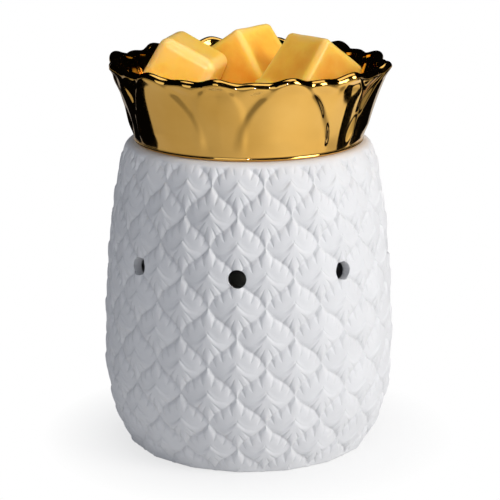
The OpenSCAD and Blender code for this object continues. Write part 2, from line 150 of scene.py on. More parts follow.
# %% Outline
FOOT_R, FOOT_Z = 44.8, 0.1
FOOT_EDGE = (FOOT_R + 4.4, 1.0)
BELLY_R, BELLY_Z = 58.6, 37.0
SHOULDER_R, SHOULDER_Z = 50.7, 118.5
SEAT_Z = 123.6
TOP_ROW_DROP = 2.7

fine_skin = np.vstack([
    [(FOOT_R, FOOT_Z)],
    curve([(FOOT_R, FOOT_Z), (FOOT_R + 2.6, FOOT_Z), (FOOT_R + 3.5, FOOT_Z), FOOT_EDGE], 60),
    curve([FOOT_EDGE, (FOOT_R + 8.9, 8.2), (BELLY_R, BELLY_Z - 18), (BELLY_R, BELLY_Z)], 300),
    curve([(BELLY_R, BELLY_Z), (BELLY_R, BELLY_Z + 17),
           (SHOULDER_R + 6.7, SHOULDER_Z - 26.5), (SHOULDER_R, SHOULDER_Z)], 400),
    curve([(SHOULDER_R, SHOULDER_Z), (SHOULDER_R - 0.6, SHOULDER_Z + 2.5),
           (SHOULDER_R - 2.1, SEAT_Z), (SHOULDER_R - 4.4, SEAT_Z)], 100),
])
lengths = np.hypot(*np.diff(fine_skin, axis=0).T)
run = np.concatenate([[0], np.cumsum(lengths)])
top_row_run = np.interp(SHOULDER_Z, fine_skin[:, 1], run) - TOP_ROW_DROP
print("the skin is", round(run[-1], 1), "mm from the foot to the seat")

# %% [markdown]
# ## The scales
# A scale is a lozenge, sixteen to a row, with every second row shifted by half a scale. Its parts lie
# on one another like leaves. The fan at the top has a pointed tongue and three notches on each side. A
# cup with two sagging edges covers the foot of the fan. A stem rises to a peak in the middle of the
# cup, and two creases on each side part the stem from its ribs.
# A carver would cut this once and cast it many times. In code, one function gives the height of the
# clay at any place of a lozenge, and every scale reads it. On a lozenge x goes from 0 in the middle to
# 1 at a side corner, and y from -1 at the tail to 1 at the top. The points of the mesh stand 0.8 mm
# apart, so this function keeps to forms that are wider than that. The knife's thin lines come later,
# in the finish.

# %% Height of a scale
NOTCHES = [((0.26, 0.73), (0.13, 0.36)), ((0.55, 0.50), (0.39, 0.16)), ((0.80, 0.27), (0.64, -0.02))]
CREASES = [((0.50, -0.55), (0.14, -0.28)), ((0.30, -0.76), (0.06, -0.44))]
NOTCH_DEPTH, CREASE_DEPTH, CUT_WALL = 0.45, 0.20, 0.15
BRIM_LOW, BRIM_PEAK, BRIM_HALF = -0.24, 0.36, 0.36
GROOVE_FLOOR = 0.3
UPPER_ROUND, LOWER_ROUND = 0.13, 0.24


def knife_cut(x, y, start, end, wall):
    """A tapered cut from the edge of the scale to its pointed end"""
    length = math.dist(start, end)
    dx, dy = (end[0] - start[0]) / length, (end[1] - start[1]) / length
    along = ((x - start[0]) * dx + (y - start[1]) * dy) / length
    off = np.abs((y - start[1]) * dx - (x - start[0]) * dy)
    taper = np.sqrt(np.clip(1 - along, 0, 1.2))
    return np.clip(taper - off / wall, 0, 1) * smooth((along + 0.5) / 0.3)


def round_over(x):
    """A quarter round from 0 to 1"""
    return np.sqrt(np.clip(1 - (1 - np.clip(x, 0, 1)) ** 2, 0, 1))


def scale_height(u, v):
    """Height of the clay in mm, where u and v count scales along the two diagonals"""
    lu, lv = u - np.round(u), v - np.round(v)
    x, y = np.abs(lu - lv), lu + lv
    fan = 1.5 - x ** 1.8
    tongue = 0.2 * smooth((y - 0.25) / 0.4) * np.exp(-(x / 0.25) ** 4)
    peak = np.clip(1 - x / BRIM_HALF, 0, None) ** 2
    brim = BRIM_LOW + BRIM_PEAK * peak + 0.15 * smooth((x - 0.5) / 0.5)
    bowl = 0.16 * np.exp(-((y - brim - 0.14) / 0.20) ** 2) * smooth(x / 0.25)
    cup = (0.18 + 0.36 * np.exp(-(x / 0.40) ** 2)) * (1 - smooth((y - brim) / 0.21 + 0.35))
    sag = 0.60 * smooth((brim - y) / 0.75)
    height = fan + tongue + cup - bowl - sag
    for start, end in NOTCHES:
        height -= NOTCH_DEPTH * knife_cut(x, y, start, end, CUT_WALL)
    for start, end in CREASES:
        height -= CREASE_DEPTH * knife_cut(x, y, start, end, CUT_WALL)
    upper = round_over((0.5 - np.maximum(lu, lv)) / UPPER_ROUND)
    lower = round_over((0.5 + np.minimum(lu, lv)) / LOWER_ROUND)
    return GROOVE_FLOOR + (height - GROOVE_FLOOR) * (0.1 + 0.9 * upper) * (0.1 + 0.9 * lower)


middle = scale_height(np.zeros(1), np.zeros(1))
print("a scale is", round(float(middle[0]), 2), "mm tall in its middle")

# %% [markdown]
# ## The pot
# A pot like this is slip-cast: the mould forms the outside, and the slip leaves a wall of clay on it.
# So the outside follows the outline, and the inside is a plainer curve, with a ledge near the foot for
# the base plate. The points of the skin are spaced so that a row of scales is as many points tall as
# half a scale is wide. The edges of the scales then run along the diagonals of the mesh, where they
# stay crisp.

# %% Skin of the pot
HALF_COLUMN = 11.25
ROW = 11.68
FINE = 14
END_GAP = 0.6
MOUTH_R = 40.6

half_columns = round(360 / HALF_COLUMN)
first = -math.floor((top_row_run - END_GAP) / ROW * FINE)
last = math.floor((run[-1] - END_GAP - top_row_run) / ROW * FINE)
skin_run = np.concatenate([[0], top_row_run + np.arange(first, last + 1) / FINE * ROW, [run[-1]]])
skin = np.column_stack([np.interp(skin_run, run, fine_skin[:, k]) for k in (0, 1)])
inside = np.vstack([
    [(MOUTH_R, SEAT_Z), (MOUTH_R, 116.0), (46.0, 111.5)],
    curve([(46.0, 111.5), (53.0, 88), (54.0, 58), (52.8, 37)], 12),
    curve([(52.8, 37), (52.8, 23), (49, 10.5), (42, 9.5)], 6),
    [(34, 9.5), (34, 5.0), (39.6, 5.0), (39.6, FOOT_Z)],
])
bm = turn(np.vstack([skin, inside]), half_columns * FINE)
numbers, degrees = outline_numbers(bm), angles(bm)
chosen = numbers < len(skin)
print("the skin has", np.count_nonzero(chosen), "of", len(chosen), "vertices")

# %% [markdown]
# ## Pressing the scales
# The skin's vertices move to where the scales put them: along the skin, so that the edges of the
# lozenges swell a little, and then out along the skin's own direction by the height of the clay.
# The scales fade out at the foot and at the shoulder, as the mould's halves need them to.

# %% Scales on the skin
PLAIN_END = 2
FADE_FOOT, FADE_SHOULDER = 4.5, 3.5
OUTLINE_HEIGHT = 1.75


def swell(t):
    """How far an edge of a lozenge leaves its straight line: out beside a fan, and in beside a tail"""
    return 0.03 * (np.abs(np.cos(np.pi * t)) - 0.6) - 0.036 * np.sin(2 * np.pi * t)


place = skin_run[numbers[chosen]]
keep = smooth((place - PLAIN_END) / FADE_FOOT) * smooth((run[-1] - PLAIN_END - place) / FADE_SHOULDER)
a, b = degrees[chosen] / HALF_COLUMN, (place - top_row_run) / ROW
u, v = (b + a) / 2, (b - a) / 2
du, dv = keep * swell(v), keep * swell(u)
place = np.clip(place + (du + dv) * ROW, 0, run[-1])
slope = np.gradient(fine_skin, run, axis=0)
out_r, out_z = np.interp(place, run, slope[:, 1]), -np.interp(place, run, slope[:, 0])
lift = keep * (scale_height(u, v) - OUTLINE_HEIGHT)
move(bm, chosen, (a + du - dv) * HALF_COLUMN,
     np.interp(place, run, fine_skin[:, 0]) + lift * out_r,
     np.interp(place, run, fine_skin[:, 1]) + lift * out_z)
print("the clay goes from", round(lift.min(), 2), "to", round(lift.max(), 2), "mm beside the outline")

# %% [markdown]
# ## A map of the lozenges
# The finish has to find the scales again. So a UV map keeps each corner's place on the lozenges, and a
# vertex layer how strong the scales are there. Across the seam at the back the map counts on instead
# of jumping.

# %% Map of the lozenges
lattice_a, lattice_b = np.zeros(len(bm.verts)), np.zeros(len(bm.verts))
lattice_a[chosen], lattice_b[chosen] = a, b
strength = bm.verts.layers.float.new("scales")
for i, part in zip(np.flatnonzero(chosen), keep):
    bm.verts[i][strength] = part
lattice = bm.loops.layers.uv.new("lattice")
bm.verts.index_update()
for face in bm.faces:
    turns = lattice_a[[loop.vert.index for loop in face.loops]]
    if np.ptp(turns) > half_columns / 2:
        turns = np.where(turns < 0, turns + half_columns, turns)
    for loop, turned in zip(face.loops, turns):
        row = lattice_b[loop.vert.index]
        loop[lattice].uv = ((row + turned) / 2, (row - turned) / 2)
pot = piece("pot", bm, "warmer", "bisque", "body_shell")

# %% [markdown]
# ## Holes in the pot
# The vents are cut in the leather-hard clay with a tube that points a little downwards, and the hole
# for the cord with a stepped drill. Each tool is a closed mesh, and a Boolean takes them all away from
# the pot at once. Edges sharper than 50 degrees stay sharp, so the rims of the holes are crisp.

# %% Vents and cord hole
VENTS, VENT_R, VENT_Z = 8, 3.6, 80.5
VENT_TILT = math.radians(12)
WALL_R = 55
TOOL_LONG = 24
GLAND_Y, GLAND_Z = 55.9, 30
CORD_R, RECESS_R = 4.6, 7.2
CRISP = math.radians(50)

tubes = bmesh.new()
to_wall = Matrix.Translation((0, -WALL_R * MM, VENT_Z * MM))
laid = Matrix.Rotation(math.pi / 2 - VENT_TILT, 4, "X")
for k in range(VENTS):
    vent_axis = Matrix.Rotation(math.radians(360 / VENTS * k), 4, "Z") @ to_wall @ laid
    bmesh.ops.create_cone(tubes, cap_ends=True, segments=48, radius1=VENT_R * MM, radius2=VENT_R * MM,
                          depth=TOOL_LONG * MM, matrix=vent_axis)
cutter_mesh = bpy.data.meshes.new("tubes")
tubes.to_mesh(cutter_mesh)
tubes.free()
reach = TOOL_LONG / 2
step_drill = turn([(0, -reach), (CORD_R, -reach), (CORD_R, 0),
                   (RECESS_R, 0), (RECESS_R, reach), (0, reach)], 64)
gland_axis = Matrix.Translation((0, GLAND_Y * MM, GLAND_Z * MM)) @ Matrix.Rotation(-math.pi / 2, 4, "X")
bmesh.ops.transform(step_drill, matrix=gland_axis, verts=step_drill.verts)
step_drill.from_mesh(cutter_mesh)
step_drill.to_mesh(cutter_mesh)
step_drill.free()
cutter = bpy.data.objects.new("tubes", cutter_mesh)
bpy.context.scene.collection.objects.link(cutter)
cut = pot.modifiers.new("holes", "BOOLEAN")
cut.operation = "DIFFERENCE"
cut.solver = "MANIFOLD"
cut.object = cutter
bpy.context.view_layer.update()
holed = bpy.data.meshes.new_from_object(pot.evaluated_get(bpy.context.evaluated_depsgraph_get()))
pot.modifiers.clear()
pot.data = holed
bpy.data.objects.remove(cutter)
holed.set_sharp_from_angle(angle=CRISP)
print("pot with holes:", len(holed.polygons), "faces,", len(holed.loop_triangles), "triangles")

# %% [markdown]
# ## The petals of the dish
# The dish is cast in one piece, but it looks like six front petals that stand before six others. The
# front petals are wide at the foot and narrow at the tip, and those behind have round tips. Each step
# at their edges is a rounded one, because glaze and gold fill sharp corners. One function gives the
# radius and height of the outside for an angle and a share of the height, so that the wall, the lip
# and the inside can all follow it.

# %% Form of the petals
RIM_R, RIM_Z = 55.4, 155.4
DISH_FOOT_R, WALL_FOOT_Z = 45.9, SEAT_Z + 1.4
LIP_R, BEAD = 2.2, 0.6
PETALS, PETAL_TURN = 6, 21.5
PITCH = 360 / PETALS
FRONT_OUT, FRONT_EDGE = 1.3, 5.2
REAR_OUT, REAR_EDGE = 0.7, 4
WALL_BACK = 0.3


def rim_wave(angle):
    """Ruffle of the rim in mm: a tip on every petal, with a lesser lobe between two of them"""
    w = np.radians(2 * PETALS * (angle - PETAL_TURN))
    return 1.9 * (0.38 * np.cos(w) + 0.26 * np.cos(2 * w) + 0.1 * np.cos(w / 2))


def petal_step(angle, t):
    """How far a front petal stands out at a height from 0 at the foot to 1 at the rim"""
    off = np.abs((angle - PETAL_TURN + PITCH / 2) % PITCH - PITCH / 2)
    half = 7 + 15 * (1 - t ** 2.2)
    edge = smooth((half - off) / FRONT_EDGE + 0.5) - 0.5
    return FRONT_OUT * smooth(t / 0.25) * (edge + 0.25 * np.cos(np.pi * off / half))


def rear_step(angle, t):
    """How far a petal behind, which has a round tip, stands out from the wall"""
    off = np.abs((angle - PETAL_TURN) % PITCH - PITCH / 2)
    half = 11 * np.sqrt(np.clip(1 - (np.clip(t - 0.55, 0, 1) / 0.46) ** 2, 0, 1))
    return REAR_OUT * smooth(t / 0.25) * smooth((half - off) / REAR_EDGE + 0.5)


def dish_wall(angle, t):
    """Radius and height of the outside"""
    wave = rim_wave(angle)
    r = DISH_FOOT_R + (RIM_R - DISH_FOOT_R) * (0.62 * t + 0.38 * t * t)
    bead = BEAD * smooth((t - 0.86) / 0.14)
    leaves = petal_step(angle, t) + rear_step(angle, t) - WALL_BACK
    z = WALL_FOOT_Z + (RIM_Z + wave - LIP_R - WALL_FOOT_Z) * t
    return r + leaves + 0.35 * wave * t ** 4 + bead, z


ruffle = rim_wave(np.linspace(0, 360, 721))
print("the rim goes from", round(ruffle.min(), 2), "to", round(ruffle.max(), 2), "mm beside its height")

# %% [markdown]
# ## The dish
# The dish is turned as a round one first, with a ring below its floor that centres it in the mouth of
# the pot. Then each point of the outside, the lip and the inside is moved by the rule of the petals.
# The lip is as thick as the wall there and rolls over softly, and the inside bends down to a flat floor.

# %% Dish
WALL_POINTS, LIP_POINTS, INSIDE_POINTS = 61, 13, 40
FLOOR_R, FLOOR_Z, FLOOR_UNDER_Z = 36, 129.0, 125.0
RING_IN, RING_OUT, RING_Z = 36.6, 39.6, 117.6
ROUND_ANGLE = PETAL_TURN + 7.0
STEPS_ROUND = 432

wall_t = np.linspace(0, 1, WALL_POINTS)
lip_turn = np.radians(np.linspace(0, 180, LIP_POINTS + 1)[1:])
bend = np.vstack([[(0, 0)], curve([(0, 0), (0.72, 0.03), (0.62, 0.55), (1, 1)], INSIDE_POINTS)])[::-1][1:]
foot_ring = [(DISH_FOOT_R - 1.4, SEAT_Z), (DISH_FOOT_R - 0.75, SEAT_Z + 0.12),
             (DISH_FOOT_R - 0.3, SEAT_Z + 0.45), (DISH_FOOT_R - 0.05, SEAT_Z + 0.9)]
under = [(0, FLOOR_Z), (0, FLOOR_UNDER_Z), (RING_IN, FLOOR_UNDER_Z), (RING_IN, RING_Z),
         (RING_OUT, RING_Z), (RING_OUT, SEAT_Z)]
round_wall = np.column_stack(dish_wall(np.full(WALL_POINTS, ROUND_ANGLE), wall_t))
top_r, top_z = round_wall[-1]
round_lip = np.column_stack([top_r + LIP_R * (np.cos(lip_turn) - 1), top_z + LIP_R * np.sin(lip_turn)])
round_inside = np.column_stack([FLOOR_R + (round_lip[-1, 0] - FLOOR_R) * bend[:, 0],
                                FLOOR_Z + (round_lip[-1, 1] - FLOOR_Z) * bend[:, 1]])
bm = turn(np.vstack([foot_ring, round_wall, round_lip, round_inside, under]), STEPS_ROUND)
numbers, degrees = outline_numbers(bm) - len(foot_ring), angles(bm)

first_lip = WALL_POINTS
first_inside = first_lip + LIP_POINTS
first_under = first_inside + INSIDE_POINTS
on_wall = (numbers >= 0) & (numbers < first_lip)
move(bm, on_wall, degrees[on_wall], *dish_wall(degrees[on_wall], wall_t[numbers[on_wall]]))
on_lip = (numbers >= first_lip) & (numbers < first_inside)
top_r, top_z = dish_wall(degrees[on_lip], 1.0)
roll = lip_turn[numbers[on_lip] - first_lip]
move(bm, on_lip, degrees[on_lip], top_r + LIP_R * (np.cos(roll) - 1), top_z + LIP_R * np.sin(roll))
on_inside = (numbers >= first_inside) & (numbers < first_under)
top_r, top_z = dish_wall(degrees[on_inside], 1.0)
part = bend[numbers[on_inside] - first_inside]
move(bm, on_inside, degrees[on_inside], FLOOR_R + (top_r - 2 * LIP_R - FLOOR_R) * part[:, 0],
     FLOOR_Z + (top_z - FLOOR_Z) * part[:, 1])
dish = piece("gilt_dish", bm, "dish", "gilt", "wax_dish")
dish.data.set_sharp_from_angle(angle=CRISP)

# %% [markdown]
# ## The wax melts
# Melts come from a moulded tray, and are broken off along thin webs. So each one is a tapered block
# with soft corners and a ragged flange at its base. A cube is subdivided, every point is drawn onto a
# rounded, tapered block, and the points near the base are let out into the flange. A little noise
# keeps the wax from being perfect.
# Their edges and upper faces are painted paler, as painted light and painted highlight, their lower
# faces a deeper amber, as painted glow, and the left melt gets more painted light than the others. How
# much of it there is at a point is kept with the mesh, for the shader.

# %% Wax melts
WAX_EDGE, WAX_TALL, WAX_DRAFT = 27.0, 25.5, 1.3
WEB_OUT, WEB_TALL, WEB_FADE = 1.6, 1.2, 0.9
RAGGED_GRAIN = 0.35
WOBBLE, WOBBLE_GRAIN = 0.25, 0.09
SEED_FIRST, SEED_STEP = 2.1, 7.3
WAX_CUTS = 41
EDGE_PAINTED_HIGHLIGHT, HEIGHT_PAINTED_LIGHT = 0.4, 0.35
PAINTED_LIGHT_LOW, PAINTED_LIGHT_HIGH = 142, 166
# centre and corner radius in mm, heading and tilt in degrees, extra painted light
WAX_PLACES = {
    "left": ((-25.9, 0.8, 149.2), 3.8, 80.5, 27, 0.34),
    "rear": ((-2.8, 24, 148.7), 2.2, 60, -33, 0.02),
    "right": ((25.2, -1.6, 148.9), 2.4, 133, 36, 0.06),
}


def wax_point(p, corner, seed):
    """A point of a cube from -1 to 1, drawn onto the melt"""
    half = WAX_EDGE / 2
    rise = (p.z + 1) / 2
    reach = half - WAX_DRAFT * rise - corner
    edge = Vector((p.x * (reach + corner), p.y * (reach + corner), p.z * WAX_TALL / 2))
    tall = WAX_TALL / 2 - corner
    inner = Vector(max(-most, min(most, c)) for c, most in zip(edge, (reach, reach, tall)))
    away = edge - inner
    q = inner + away.normalized() * min(corner, away.length) if away.length > 0 else edge
    above = q.z + WAX_TALL / 2
    ragged = 0.75 + 0.5 * noise.noise(Vector((q.x * RAGGED_GRAIN + seed, q.y * RAGGED_GRAIN, 0)))
    flare = WEB_OUT * ragged * math.exp(-max(above - WEB_TALL, 0) / WEB_FADE)
    side = Vector((q.x, q.y, 0))
    if side.length > reach * 0.6:
        outermost = max(abs(q.x), abs(q.y)) / half
        q += side.normalized() * flare * float(smooth((outermost - 0.75) / 0.2))
    shifts = (Vector((seed, 0, 0)), Vector((0, seed, 0)), Vector((0, 0, seed)))
    return q + WOBBLE * Vector([noise.noise(q * WOBBLE_GRAIN + shift) for shift in shifts])


melts = []
for seed, (side, (centre, corner, heading, tilt, extra_painted_light)) in enumerate(WAX_PLACES.items()):
    bm = bmesh.new()
    bmesh.ops.create_cube(bm, size=2)
    bmesh.ops.subdivide_edges(bm, edges=bm.edges, cuts=WAX_CUTS, use_grid_fill=True)
    painted_light = bm.verts.layers.float.new("painted_light")
    for vert in bm.verts:
        # Painted highlight near the edges, plus each melt's own extra painted light
        near_edge = sorted(abs(c) for c in vert.co)[1]
        vert[painted_light] = EDGE_PAINTED_HIGHLIGHT * float(smooth((near_edge - 0.62) / 0.32)) + extra_painted_light
        vert.co = wax_point(vert.co, corner, SEED_STEP * seed + SEED_FIRST)
    lay = (Matrix.Translation(Vector(centre) * MM) @ Matrix.Rotation(math.radians(heading), 4, "Z")
           @ Matrix.Rotation(math.radians(tilt), 4, "X") @ Matrix.Scale(MM, 4))
    bmesh.ops.transform(bm, matrix=lay, verts=bm.verts)
    # Painted light: paler higher up, a deeper painted amber glow lower down
    for vert in bm.verts:
        vert[painted_light] += HEIGHT_PAINTED_LIGHT * (vert.co.z / MM - PAINTED_LIGHT_LOW) / (PAINTED_LIGHT_HIGH - PAINTED_LIGHT_LOW)
    melts.append(piece("melt_" + side, bm, "melt_" + side, "wax", "wax_melt_" + side))

# %% [markdown]
# ## Reckoning in a shader
# A shader adds and multiplies with Math nodes, and a formula of a few terms already takes a dozen of
# them. A small class lets shader values be added and multiplied like numbers, and makes the nodes on
# the way.


# %% Shader values that reckon like numbers
class Value:
    """An output of a shader node, which can be reckoned with"""

    def __init__(self, tree, socket):
        self.tree, self.socket = tree, socket

    def node(self, operation, *terms, clamp=False):
        """A Math node that reads the given values or numbers"""
        made = self.tree.nodes.new("ShaderNodeMath")
        made.operation = operation
        made.use_clamp = clamp
        for slot, term in zip(made.inputs, terms):
            if isinstance(term, Value):
                self.tree.links.new(term.socket, slot)
            else:
                slot.default_value = term
        return Value(self.tree, made.outputs[0])

    def __add__(self, other):
        return self.node("ADD", self, other)

    def __sub__(self, other):
        return self.node("SUBTRACT", self, other)

    def __mul__(self, other):
        return self.node("MULTIPLY", self, other)

    def __truediv__(self, other):
        return self.node("DIVIDE", self, other)

    def __abs__(self):
        return self.node("ABSOLUTE", self)

    def left_of(self, whole):
        """What the value leaves of a whole"""
        return self.node("SUBTRACT", whole, self)

    def limited(self):
        """The value, kept from 0 to 1"""
        return self.node("ADD", self, 0.0, clamp=True)

    def bell(self, width):
        """A soft peak of 1 where the value is 0"""
        ratio = self / width
        return self.node("EXPONENT", ratio * ratio * -1.0)


# %% [markdown]
# ## Finishes
# A finish is a Principled shader whose colour wanders a little, with a fine bump on top. The patterns
# sit on Object coordinates, which are metres here, so a scale of 1000 makes a grain of about a
# millimetre. A finish with painted light also goes through its colours with the painted light that a
# mesh keeps.

# %% Helper for finishes
PAINTED_LIGHT_SHARE = 0.70


def finish(name, colours, grain, bump, painted_light=None, **values):
    """A material of some colours, with the size of its grain and the size and depth of its bump in mm"""
    mat = bpy.data.materials.new(name)
    mat.use_nodes = True
    tree = mat.node_tree
    shader = tree.nodes["Principled BSDF"]
    for socket, value in values.items():
        shader.inputs[socket.replace("_", " ")].default_value = value
    where = tree.nodes.new("ShaderNodeTexCoord")
    pattern = tree.nodes.new("ShaderNodeTexNoise")
    pattern.inputs["Scale"].default_value = 1000 / grain
    pattern.inputs["Detail"].default_value = 4
    tree.links.new(where.outputs["Object"], pattern.inputs["Vector"])
    shade = ((Value(tree, pattern.outputs["Fac"]) - 0.3) / 0.4).limited()
    # Painted light kept on the mesh steers the colour most of the way
    if painted_light:
        amount = tree.nodes.new("ShaderNodeAttribute")
        amount.attribute_name = painted_light
        painted_light_level = Value(tree, amount.outputs["Fac"]).limited()
        shade = shade * (1 - PAINTED_LIGHT_SHARE) + painted_light_level * PAINTED_LIGHT_SHARE
    ramp = tree.nodes.new("ShaderNodeValToRGB")
    shades = ramp.color_ramp.elements
    for _ in colours[2:]:
        shades.new(0.5)
    for i, colour in enumerate(colours):
        shades[i].position = i / (len(colours) - 1)
        shades[i].color = (*colour, 1)
    tree.links.new(shade.socket, ramp.inputs["Fac"])
    tree.links.new(ramp.outputs["Color"], shader.inputs["Base Color"])
    bump_size, bump_depth = bump
    fine = tree.nodes.new("ShaderNodeTexNoise")
    fine.inputs["Scale"].default_value = 1000 / bump_size
    fine.inputs["Detail"].default_value = 3
    tree.links.new(where.outputs["Object"], fine.inputs["Vector"])
    dent = tree.nodes.new("ShaderNodeBump")
    dent.inputs["Distance"].default_value = bump_depth * MM
    dent.inputs["Strength"].default_value = 1
    tree.links.new(fine.outputs["Fac"], dent.inputs["Height"])
    tree.links.new(dent.outputs["Normal"], shader.inputs["Normal"])
    print("finish", name)
    return mat


def wear(obj, mat):
    """Give an object its finish"""
    obj.data.materials.clear()
    obj.data.materials.append(mat)


# %% [markdown]
# ## Bisque, gold and wax
# Bisque is fired clay without glaze: white, dry and a little grainy. The gold is a bright film on a
# glazed dish, so it mirrors like polished metal, with only the waviness of the glaze below. The wax
# lets light in, which the subsurface part of the shader does, and its colour goes from a painted deep
# amber glow to a painted pale light.

# %% Ceramic, gilt and wax
BISQUE_SHADES = [(0.80, 0.80, 0.81), (0.85, 0.85, 0.86)]
GILT_SHADES = [(0.76, 0.42, 0.085), (0.84, 0.49, 0.12)]
# A painted deep amber glow, the wax's own amber, and a painted pale light
WAX_SHADES_PAINTED_LIGHT = [(0.80, 0.29, 0.018), (0.93, 0.57, 0.085), (0.85, 0.56, 0.22)]
bisque = finish("bisque", BISQUE_SHADES, 14, (0.35, 0.012), Roughness=0.62, Specular_IOR_Level=0.35)
gilt = finish("gilt", GILT_SHADES, 22, (5.0, 0.006), Metallic=1.0, Roughness=0.09)
wax = finish("wax", WAX_SHADES_PAINTED_LIGHT, 9, (2.2, 0.03), painted_light="painted_light", Roughness=0.36,
             Subsurface_Weight=1.0, Subsurface_Scale=0.004, Subsurface_Radius=(1.0, 0.7, 0.4))
wear(pot, bisque)
wear(dish, gilt)
for melt in melts:
    wear(melt, wax)

# %% [markdown]
# ## The knife's lines
# The thin cuts of the scales are narrower than the mesh, so a bump carries them. A bump only turns the
# shading, which is enough for a line that is less than half a millimetre deep. The same kind of formula
# as for the clay is written once more, in shader values that read the place on the lozenge from the UV
# map.

# %% Lines of the knife
NOTCH_LINE, CREASE_LINE, EDGE_LINE, BRIM_LINE, STEM_RISE = 0.28, 0.32, 0.16, 0.16, 0.1
NOTCH_WALL, CREASE_WALL = 0.10, 0.085


def knife_line(x, y, start, end, wall):
    """The same tapered cut as in the clay, made of shader values"""
    length = math.dist(start, end)
    dx, dy = (end[0] - start[0]) / length, (end[1] - start[1]) / length
    along = x * (dx / length) + y * (dy / length) - (start[0] * dx + start[1] * dy) / length
    off = abs(y * dx - x * dy - (start[1] * dx - start[0] * dy))
    taper = along.node("SQRT", along.left_of(1.0).limited())
    return (taper - off / wall).limited() * ((along + 0.5) / 0.3).limited()


tree = bisque.node_tree
lattice_map = tree.nodes.new("ShaderNodeUVMap")
lattice_map.uv_map = "lattice"
axes = tree.nodes.new("ShaderNodeSeparateXYZ")
tree.links.new(lattice_map.outputs["UV"], axes.inputs[0])
u, v = Value(tree, axes.outputs["X"]), Value(tree, axes.outputs["Y"])
lu, lv = u - u.node("ROUND", u), v - v.node("ROUND", v)
x, y = abs(lu - lv), lu + lv
lines = [knife_line(x, y, start, end, NOTCH_WALL) * NOTCH_LINE for start, end in NOTCHES]
lines += [knife_line(x, y, start, end, CREASE_WALL) * CREASE_LINE for start, end in CREASES]
to_edge = x.node("MAXIMUM", abs(lu), abs(lv)).left_of(0.5)
lines.append((to_edge / 0.06).left_of(1.0).limited() * EDGE_LINE)
rise = (x / BRIM_HALF).left_of(1.0).limited()
brim = rise * rise * BRIM_PEAK + (BRIM_LOW + 0.03)
lines.append((y - brim).bell(0.06) * x.bell(0.6) * BRIM_LINE)
cuts = sum(lines[1:], lines[0])
stem = x.bell(0.10) * (y.left_of(0.15) / 0.25).limited() * ((y + 0.95) / 0.35).limited()
strength = tree.nodes.new("ShaderNodeAttribute")
strength.attribute_name = "scales"
height = (stem * STEM_RISE - cuts) * Value(tree, strength.outputs["Fac"])
knife = tree.nodes.new("ShaderNodeBump")
knife.inputs["Strength"].default_value = 1
knife.inputs["Distance"].default_value = MM
shader = tree.nodes["Principled BSDF"]
tree.links.new(height.socket, knife.inputs["Height"])
tree.links.new(shader.inputs["Normal"].links[0].from_socket, knife.inputs["Normal"])
tree.links.new(knife.outputs["Normal"], shader.inputs["Normal"])
print("the knife's lines take", len(tree.nodes), "nodes")

# %% [markdown]
# ## The parts inside
# What hides inside keeps its exact solids, and gets the finishes of its trade: pressed glass and quartz
# for the lamp, steatite for its holder, zinc on steel for the sheet metal and screws, rubber and nylon
# for the rest.

# %% Finishes of the inner parts
inner = {
    "lamp_reflector": finish("mirror_glass", [(0.78, 0.79, 0.80), (0.86, 0.87, 0.88)], 3, (2.5, 0.05),
                             Metallic=1.0, Roughness=0.16),
    "lamp_lens": finish("clear_glass", [(0.94, 0.96, 0.96), (0.97, 0.98, 0.98)], 12, (4.0, 0.02),
                        Roughness=0.06, Transmission_Weight=1.0, IOR=1.47),
    "lamp_capsule": finish("quartz", [(0.95, 0.96, 0.97), (0.98, 0.98, 0.98)], 6, (2.0, 0.01),
                           Roughness=0.03, Transmission_Weight=1.0, IOR=1.46),
    "lamp_cap": finish("lamp_ceramic", [(0.72, 0.70, 0.64), (0.78, 0.76, 0.71)], 4, (0.5, 0.02),
                       Roughness=0.6),
    "lamp_pins": finish("brass", [(0.68, 0.50, 0.22), (0.75, 0.57, 0.28)], 3, (0.4, 0.008),
                        Metallic=1.0, Roughness=0.32),
    "lamp_filament": finish("tungsten", [(0.22, 0.22, 0.23), (0.30, 0.30, 0.31)], 1, (0.3, 0.02),
                            Metallic=1.0, Roughness=0.45),
    "holder_contacts": finish("bronze", [(0.58, 0.36, 0.18), (0.66, 0.42, 0.22)], 2, (0.4, 0.01),
                              Metallic=1.0, Roughness=0.3),
    "bridge_bracket": finish("galvanised_sheet", [(0.52, 0.53, 0.55), (0.68, 0.69, 0.70)], 7, (1.2, 0.01),
                             Metallic=1.0, Roughness=0.42),
    "base_plate": finish("painted_sheet", [(0.70, 0.70, 0.70), (0.76, 0.76, 0.75)], 6, (0.7, 0.02),
                         Roughness=0.45),
    "base_gasket": finish("cork_rubber", [(0.30, 0.22, 0.15), (0.42, 0.32, 0.22)], 1.2, (0.9, 0.05),
                          Roughness=0.85),
    "rubber_feet": finish("black_rubber", [(0.10, 0.10, 0.10), (0.14, 0.14, 0.14)], 3, (0.5, 0.02),
                          Roughness=0.7),
    "cord_gland": finish("gland_rubber", [(0.76, 0.76, 0.75), (0.82, 0.82, 0.81)], 4, (0.5, 0.02),
                         Roughness=0.55),
    "lead_line": finish("brown_sleeve", [(0.22, 0.10, 0.04), (0.28, 0.13, 0.06)], 4, (0.6, 0.02),
                        Roughness=0.5),
    "lead_neutral": finish("white_sleeve", [(0.78, 0.78, 0.76), (0.83, 0.83, 0.82)], 4, (0.6, 0.02),
                           Roughness=0.5),
    "splice_caps": finish("nylon", [(0.80, 0.77, 0.68), (0.85, 0.83, 0.76)], 5, (0.6, 0.02),
                          Roughness=0.48),
}
steatite = finish("steatite", [(0.74, 0.70, 0.61), (0.80, 0.77, 0.69)], 5, (0.6, 0.02), Roughness=0.5)
for name in ("holder_block", "holder_cover"):
    inner[name] = steatite
zinc = finish("zinc", [(0.60, 0.60, 0.58), (0.72, 0.71, 0.69)], 2, (0.3, 0.008),
              Metallic=1.0, Roughness=0.34)
for name in ("holder_screws", "holder_nuts", "clamp_screws", "clamp_nuts"):
    inner[name] = zinc
for name, mat in inner.items():
    wear(nodes[name], mat)
print("finished", len(inner), "solids")
